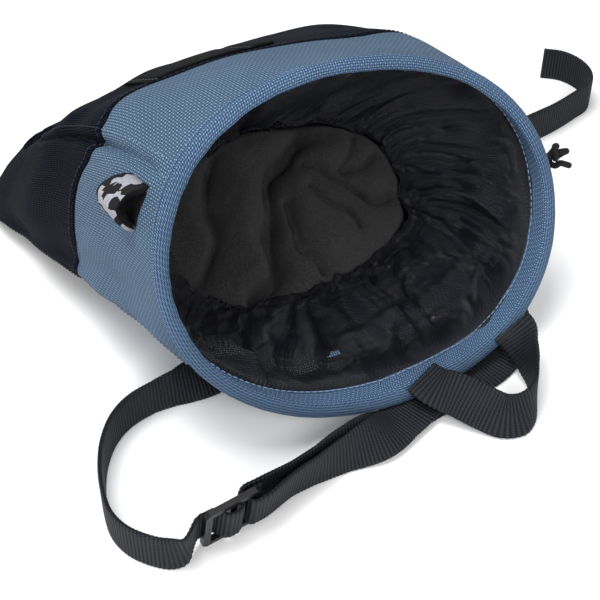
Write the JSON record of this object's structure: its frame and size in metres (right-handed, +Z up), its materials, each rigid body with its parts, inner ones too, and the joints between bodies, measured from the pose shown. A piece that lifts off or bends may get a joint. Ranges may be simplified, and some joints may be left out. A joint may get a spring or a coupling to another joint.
{
  "type": "climbing chalk bag",
  "caption": "Soft round chalk bag lying on its back, mouth open, with fleece lining, webbing belt, slider, haul loop and brush loop.",
  "frame": {"origin": "middle of the part's footprint, on the floor that it lies on", "axes": "+Z up from the floor, +Y from the mouth to the bag's base, +X to the side where the belt's free end lies; the back panel lies on the floor"},
  "size_m": [0.2858, 0.2124, 0.1064],
  "materials": {
    "blue_fabric": "coarse woven polyester, matte",
    "navy_fabric": "coarse woven polyester, matte",
    "blue_binding": "woven tape, two stitch lines",
    "sleeve_nylon": "thin nylon, slight sheen",
    "fleece": "short fleece, dull",
    "webbing": "ribbed webbing, dull",
    "black_plastic": "moulded, satin",
    "woven_tab": "fine woven ribbon",
    "printed_webbing": "grey and black printed webbing",
    "cord": "braided cord"
  },
  "bodies": {
    "root": {"upper_band": "blue_fabric", "lower_body": "navy_fabric", "rim_binding": "blue_binding", "inner_sleeve": "sleeve_nylon", "fleece_lining": "fleece", "belt": "webbing", "belt_tail": "webbing", "belt_slider": "black_plastic", "belt_keeper": "webbing", "haul_loop": "webbing", "name_tab": "woven_tab", "brush_loop": "printed_webbing", "drawstring": "cord"}
  },
  "joints": []
}
